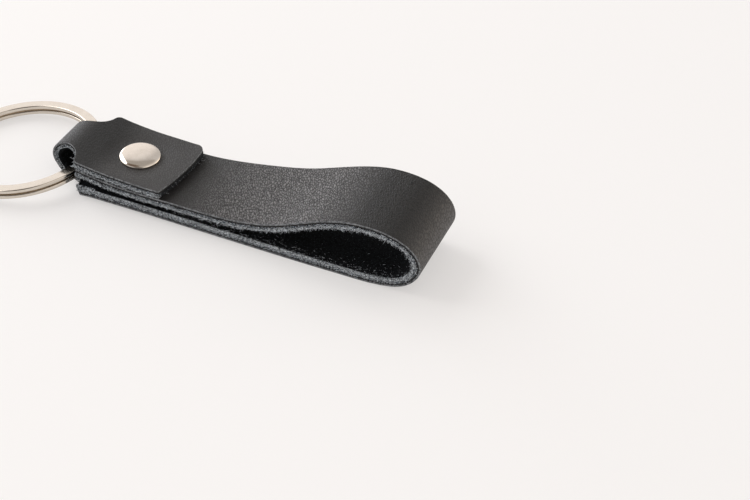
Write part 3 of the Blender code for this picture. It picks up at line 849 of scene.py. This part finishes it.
# Where the hairs start and end, in the frame
def fibreRoots(look):
    count = look["count"]
    spot = random.uniform(look["endClear"], lineAlong[-1] - look["endClear"], count)
    side = random.choice((-1.0, 1.0), count)
    # A thicker tuft fills the gap under the middle layer at the strap's left end
    atHeel = random.random(count) < look["heelShare"]
    side[atHeel] = -1
    along = random.uniform(0, 1, count) ** look["heelCrowding"]
    along = look["heelFrom"] + (1 - look["heelFrom"]) * along
    spot = np.where(atHeel, lowerShoulder + along * look["heelReach"], spot)
    front, back = ([np.interp(spot, rowPlace, column) for column in rows] for rows in rowSides)
    width, outAlong, outAcross = np.where(side < 0, front, back)
    # A few stand on the flap's cut end
    onEnd = (random.random(count) < look["endShare"]) & ~atHeel
    spot[onEnd] = 0
    width[onEnd] = random.uniform(0.0, strap["width"] / 2 - strap["backCorner"] / 2, count)[onEnd]
    outAlong[onEnd] = -1
    outAcross[onEnd] = 0
    shallow, deep = (value * mm for value in look["depthMm"])
    depth = shallow + (deep - shallow) * random.beta(*look["depthShape"], count)
    reach = random.uniform(*look["lengthMm"], count) * mm
    dip = np.maximum(random.normal(*look["dip"], count) * reach, look["tableClearMm"] * mm - depth)
    depth = np.where(atHeel, look["heelDepthMm"] * mm, depth)
    dip = np.where(atHeel, random.uniform(*look["heelDipMm"], count) * mm, dip)
    # In the fold the fibres keep clear of the ring, and between close layers they stay off the next one
    inNeck = (spot > upperShoulder) & (spot < lowerShoulder)
    depth[inNeck] = np.minimum(depth[inNeck], look["neckDepthMm"] * mm)
    dip[inNeck] = -np.abs(dip[inNeck])
    opening = rivetOnSole + look["clearTo"]
    covered = (spot < upperShoulder) | (spot > loopClosed)
    covered |= (spot > rivetOnSole + look["clearFrom"]) & (spot < opening)
    dip[covered] = np.minimum(dip[covered], deep - depth[covered])
    inward = smoothStep(depth, look["inwardFromMm"] * mm, strap["thickness"])
    inward = inward * random.uniform(0, look["inwardMm"], count) * mm
    # In the open loop some stand on the inner face, fewer further in
    nap = (random.random(count) < look["napShare"]) & (spot > opening) & (spot < loopClosed)
    inward = np.where(nap, random.exponential(look["napReach"], count), inward)
    inward = np.minimum(inward, width)
    depth = np.where(nap, look["napDepthMm"] * mm, depth)
    dip = np.where(nap, random.uniform(*look["napDipMm"], count) * mm, dip)
    start = (spot - inward * outAlong, side * (width - inward * outAcross), depth)
    out = random.uniform(*look["out"], count) * np.where(atHeel, look["heelOutMm"] * mm, reach)
    slip = random.normal(0, look["slip"], count) * np.where(atHeel, look["heelSlipMm"] * mm, reach)
    end = (start[0] + outAlong * out + slip, start[1] + side * outAcross * out, depth + dip)
    return onRoute(*start), onRoute(*end)


def fibreHairs(look):
    first, last = fibreRoots(look)
    count = len(first)
    axis = last - first
    length = np.linalg.norm(axis, axis=1)[:, None]
    axis /= length
    across = np.cross(axis, random.normal(size=(count, 3)))
    across /= np.linalg.norm(across, axis=1)[:, None]
    over = np.cross(axis, across)
    bow = look["curl"] * length * random.uniform(-0.5, 0.5, (count, 1))
    radius = random.uniform(*look["radiusMm"], (count, 1)) * mm
    joints, sides = look["joints"], look["sides"]
    points = np.empty((count, joints, sides, 3))
    for j in range(joints):
        share = j / (joints - 1)
        middle = first + (last - first) * share + across * bow * share * (1 - share) * 4
        thin = radius * (1 - look["taper"] * share)
        for k in range(sides):
            angle = 2 * math.pi * k / sides
            points[:, j, k] = middle + thin * (math.cos(angle) * across + math.sin(angle) * over)
    base = np.arange(count)[:, None] * joints * sides
    faces = []
    for j in range(joints - 1):
        for k in range(sides):
            a = j * sides + k
            b = j * sides + (k + 1) % sides
            faces.append(base + np.array([[a, b, b + sides, a + sides]]))
    quads = np.concatenate(faces).tolist()
    root = np.arange(sides)[::-1]
    tip = (joints - 1) * sides + np.arange(sides)
    closed = (base + root).tolist() + (base + tip).tolist()
    return meshObject("edgeFibres", points.reshape(-1, 3), quads + closed, [fibreEnds])


edgeFibres = fibreHairs(hairs)
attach(edgeFibres, "strap")
print("loose fibres made")


# Rivet caps: domed shells with a lip rolled under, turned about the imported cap's own axis
caps = {
    "radius": 0.0045,
    "side": 0.0004,
    "sheet": 0.0002,
    "lip": 0.0010,
    "roll": 0.00016,
    "fullness": 3.0,
    "steps": 96,
    "domeSteps": 18,
    "rollSteps": 7,
    "sharpAngle": math.radians(60),
}


# The axis of a packed round piece: its middle, its direction, and its reach along it
def turnedAxis(node, up):
    points = np.array([vertex.co for vertex in frame["nodes"][node].data.vertices])
    middle = points.mean(axis=0)
    axis = np.linalg.eigh(np.cov((points - middle).T))[1][:, 0]
    axis *= np.sign(axis @ np.array(up))
    reach = (points - middle) @ axis
    return Vector(middle), Vector(axis), float(reach.min()), float(reach.max())


def turnedPiece(name, outline, middle, axis, material):
    steps = caps["steps"]
    turn = axis.to_track_quat("Z", "Y").to_matrix()
    points = []
    rings = []
    for radius, height in outline:
        count = 1 if radius < 1e-9 else steps
        rings.append([len(points) + i % count for i in range(steps)])
        for i in range(count):
            angle = 2 * math.pi * i / steps
            spoke = Vector((radius * math.cos(angle), radius * math.sin(angle), height))
            points.append(middle + turn @ spoke)
    faces = []
    for lower, upper in zip(rings, rings[1:] + rings[:1]):
        for i in range(steps):
            after = (i + 1) % steps
            corners = tuple(dict.fromkeys((lower[i], lower[after], upper[after], upper[i])))
            if len(corners) > 2:
                faces.append(corners)
    return meshObject(name, np.array(points), faces, [material], sharp=caps["sharpAngle"])


def rivetCap(name, node, up):
    middle, axis, low, high = turnedAxis(node, up)
    height = high - low
    radius, side, sheet, roll = (caps[key] for key in ("radius", "side", "sheet", "roll"))
    inside = radius - sheet

    def dome(wide, crown, shoulder):
        rows = []
        for i in range(caps["domeSteps"]):
            share = math.cos(math.pi / 2 * i / caps["domeSteps"])
            rise = math.sqrt(1 - share ** caps["fullness"])
            rows.append((wide * share, shoulder + (crown - shoulder) * rise))
        return rows + [(0, crown)]

    outline = [(radius - caps["lip"], 0), (radius - roll, 0)]
    for i in range(1, caps["rollSteps"]):
        angle = math.pi / 2 * i / caps["rollSteps"]
        outline.append((radius - roll + roll * math.sin(angle), roll - roll * math.cos(angle)))
    outline += dome(radius, height, side)
    outline += reversed(dome(inside, height - sheet, side))
    outline += [(inside, sheet), (radius - caps["lip"], sheet)]
    made = turnedPiece(name, [(wide, tall + low) for wide, tall in outline], middle, axis, capPlate)
    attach(made, "strap")
    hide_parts(node)


rivetCap("frontCap", "rivet_front_cap", (0, 0, 1))
rivetCap("backCap", "rivet_back_cap", (0, 0, -1))
for node in ("rivet_socket", "rivet_post"):
    frame["nodes"][node].data.materials.clear()
    frame["nodes"][node].data.materials.append(stemSteel)
print("rivet made")


# Key ring: rolled flat wire in two turns, placed from its hinge in the fold
ring = {
    "diameter": 0.0356,
    "wireWidth": 0.0024,
    "wireHeight": 0.0009,
    "edgeRadius": 0.00024,
    "turnGap": 0.0004,
    "sideSlip": 0.0022,
    "pivotLift": 0.00105,
    "pivotSetback": 0.00075,
    "jog": math.radians(30),
    "endGap": math.radians(6),
    "splitPlace": math.radians(210),
    "turnSteps": 200,
    "cornerSteps": 6,
    "endRound": 0.0003,
    "endSteps": 4,
    "endSize": 0.55,
    "sharpAngle": math.radians(50),
}


def splitRing(look):
    turn = 2 * math.pi
    stack = 2 * look["wireHeight"] + look["turnGap"]
    seat = ringPivot.z - look["pivotLift"] - stack / 2
    tilt = math.asin(seat / look["diameter"])
    radius = look["diameter"] / 2
    middleX = ringPivot.x + look["pivotSetback"] + look["wireWidth"] / 2 - radius * math.cos(tilt)
    centre = Vector((middleX, ringPivot.y - look["sideSlip"], seat / 2))
    place = Matrix.Translation(centre) @ Matrix.Rotation(-tilt, 4, "Y")

    section = []
    edge = look["edgeRadius"]
    for corner in range(4):
        middle = math.pi / 2 * (corner + 0.5)
        across = math.copysign(look["wireWidth"] / 2 - edge, math.cos(middle))
        up = math.copysign(look["wireHeight"] / 2 - edge, math.sin(middle))
        for i in range(look["cornerSteps"] + 1):
            angle = math.pi / 2 * (corner + i / look["cornerSteps"])
            section.append((across + edge * math.cos(angle), up + edge * math.sin(angle)))
    section = np.array(section)

    length = 2 * turn - look["jog"] - look["endGap"]
    angles = np.linspace(0, length, round(length / turn * look["turnSteps"]))
    # The wire's two ends are filed round
    endShare = look["endRound"] / radius
    steps = look["endSteps"]
    filed = np.arange(steps) * math.pi / 2 / steps
    ends = endShare * (1 - np.cos(filed))
    inner = angles[(angles > endShare) & (angles < length - endShare)]
    angles = np.concatenate([ends, inner, length - ends[::-1]])
    sizes = np.ones(len(angles))
    sizes[:steps] = look["endSize"] + (1 - look["endSize"]) * np.sin(filed)
    sizes[-steps:] = sizes[:steps][::-1]
    share = np.clip((angles - turn + look["jog"]) / look["jog"], 0, 1)
    level = look["wireHeight"] / 2 + (look["wireHeight"] + look["turnGap"]) * share**2 * (3 - 2 * share)
    points = np.empty((len(angles), len(section), 3))
    wide = radius - look["wireWidth"] / 2 + section[None, :, 0] * sizes[:, None]
    spin = (look["splitPlace"] + angles)[:, None]
    points[..., 0] = wide * np.cos(spin)
    points[..., 1] = wide * np.sin(spin)
    points[..., 2] = level[:, None] + section[None, :, 1] * sizes[:, None]
    turned = np.array(place.to_3x3())
    points = points.reshape(-1, 3) @ turned.T + np.array(place.translation)
    sides = len(section)
    start = np.arange(len(angles) - 1)[:, None] * sides
    here = start + np.arange(sides)
    beside = start + (np.arange(sides) + 1) % sides
    faces = np.stack([here, beside, beside + sides, here + sides], axis=-1).reshape(-1, 4).tolist()
    faces.append(list(range(sides))[::-1])
    faces.append(list(range((len(angles) - 1) * sides, len(angles) * sides)))
    made = meshObject("keyRing", points, faces, [ringPlate], sharp=look["sharpAngle"])
    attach(made, "ring")
    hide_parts("split_ring")


splitRing(ring)
print("ring made")


# Table: laminate board, matt and a warm white, faintly clouded
table = {
    "colour": "#faf8f7",
    "cloudColour": "#f9f7f6",
    "cloudScale": 6.0,
    "roughness": 0.75,
    "gloss": 0.2,
    "size": 3.0,
    "drop": 0.00004,
    "selfShare": 0.5,
}


def whiteTable(look):
    material, tree, shader = newMaterial("white laminate, matt")
    place = addNode(tree, "ShaderNodeTexCoord").outputs["Object"]
    wide = {"Vector": place, "Scale": look["cloudScale"], "Detail": 2}
    cloud = addNode(tree, "ShaderNodeTexNoise", {}, wide).outputs[0]
    tones = {0: cloud, 6: hexColour(look["colour"]), 7: hexColour(look["cloudColour"])}
    colour = addNode(tree, "ShaderNodeMix", {"data_type": "RGBA"}, tones).outputs[2]
    finishMaterial(tree, shader, look, colour)
    # Seen straight or in the metal, the white shows part of its own colour, so its shadows stay light
    path = addNode(tree, "ShaderNodeLightPath")
    rays = {0: path.outputs["Is Camera Ray"], 1: path.outputs["Is Glossy Ray"]}
    seen = addNode(tree, "ShaderNodeMath", {"operation": "MAXIMUM"}, rays).outputs[0]
    shown = {0: seen, 1: look["selfShare"]}
    part = addNode(tree, "ShaderNodeMath", {"operation": "MULTIPLY"}, shown).outputs[0]
    glow = addNode(tree, "ShaderNodeEmission", {}, {"Color": colour}).outputs[0]
    mixed = addNode(tree, "ShaderNodeMixShader", {}, {0: part, 1: shader.outputs[0], 2: glow}).outputs[0]
    tree.links.new(mixed, tree.nodes["Material Output"].inputs["Surface"])
    reach = look["size"] / 2
    corners = np.array([(-reach, -reach, 0), (reach, -reach, 0), (reach, reach, 0), (-reach, reach, 0)])
    made = meshObject("tableTop", corners + (0, 0, -look["drop"]), [(0, 1, 2, 3)], [material])


whiteTable(table)

# Light: a large soft window low on the left and an even warm room, with a few brighter and darker parts that
# shape the metal
studio = {
    "room": "#f8f6f6",
    "roomLevel": 0.75,
    "backdrop": "#f9f6f5",
    "windowWay": (-0.80, 0.08, 0.58),
    "windowAway": 1.2,
    "windowSize": 1.05,
    "windowPower": 8.6,
    "windowColour": (1.0, 0.995, 0.985),
}
# Parts of the room: direction, colour, level, and the cosines between which each fades in
roomParts = (
    ((0.0, 0.0, 1.0), "#f3eee8", 0.54, 0.74, 0.81),
    ((1.0, 0.10, 0.20), "#f6f0ea", 1.15, 0.20, 0.90),
    ((-0.64, 0.66, 0.38), "#f8f5f4", 1.32, 0.84, 0.985),
    ((-0.86, 0.46, 0.16), "#f2f6ff", 4.5, 0.945, 0.997),
    ((0.74, 0.66, 0.06), "#fff1e0", 2.4, 0.88, 0.99),
    ((-0.30, -0.12, 0.945), "#c9b3a2", 0.34, 0.93, 0.96),
    ((0.32, -0.75, 0.58), "#6b4a3a", 0.12, 0.88, 0.97),
)


def studioLight(look):
    world = bpy.data.worlds.new("plain studio")
    bpy.context.scene.world = world
    world.use_nodes = True
    tree = world.node_tree
    way = addNode(tree, "ShaderNodeTexCoord").outputs["Generated"]
    room = hexColour(look["room"], look["roomLevel"])
    for direction, shade, level, low, high in roomParts:
        unit = Vector(direction).normalized()
        facing = addNode(tree, "ShaderNodeVectorMath", {"operation": "DOT_PRODUCT"}, {0: way, 1: unit})
        fade = {"Value": facing.outputs["Value"], "From Min": low, "From Max": high}
        share = addNode(tree, "ShaderNodeMapRange", {"interpolation_type": "SMOOTHSTEP"}, fade).outputs[0]
        tones = {0: share, 6: room, 7: hexColour(shade, level)}
        room = addNode(tree, "ShaderNodeMix", {"data_type": "RGBA"}, tones).outputs[2]
    seen = addNode(tree, "ShaderNodeLightPath").outputs["Is Camera Ray"]
    tones = {0: seen, 6: room, 7: hexColour(look["backdrop"])}
    final = addNode(tree, "ShaderNodeMix", {"data_type": "RGBA"}, tones).outputs[2]
    tree.links.new(final, tree.nodes["Background"].inputs["Color"])

    lamp = bpy.data.lights.new("window", "AREA")
    lamp.shape = "DISK"
    lamp.size = look["windowSize"]
    lamp.energy = look["windowPower"]
    lamp.color = look["windowColour"]
    window = bpy.data.objects.new("window", lamp)
    bpy.context.scene.collection.objects.link(window)
    way = Vector(look["windowWay"]).normalized()
    window.location = way * look["windowAway"]
    window.rotation_euler = way.to_track_quat("Z", "Y").to_euler()


studioLight(studio)

# Camera: the photograph's own view, fitted to the strap, the rivet and the ring
view = {
    "azimuth": math.radians(23.71),
    "elevation": math.radians(40.5),
    "roll": math.radians(0.29),
    "place": (0.1527, -0.21948, 0.20528),
    "lens": 72.0,
    "sensor": 36.0,
    "near": 0.01,
}


def photoCamera(look):
    azimuth, elevation, roll = look["azimuth"], look["elevation"], look["roll"]
    flat = math.cos(elevation)
    back = Vector((math.sin(azimuth) * flat, -math.cos(azimuth) * flat, math.sin(elevation)))
    right = Vector((math.cos(azimuth), math.sin(azimuth), 0))
    up = back.cross(right)
    turnedRight = right * math.cos(roll) + up * math.sin(roll)
    turnedUp = up * math.cos(roll) - right * math.sin(roll)
    camera = bpy.data.cameras.new("camera")
    camera.lens = look["lens"]
    camera.sensor_width = look["sensor"]
    camera.clip_start = look["near"]
    made = bpy.data.objects.new("camera", camera)
    bpy.context.scene.collection.objects.link(made)
    turn = Matrix((turnedRight, turnedUp, back)).transposed().to_4x4()
    made.matrix_world = Matrix.Translation(Vector(look["place"]) + routeOrigin) @ turn
    bpy.context.scene.camera = made


photoCamera(view)
bpy.context.scene.view_settings.view_transform = "Standard"

print("scene ready")
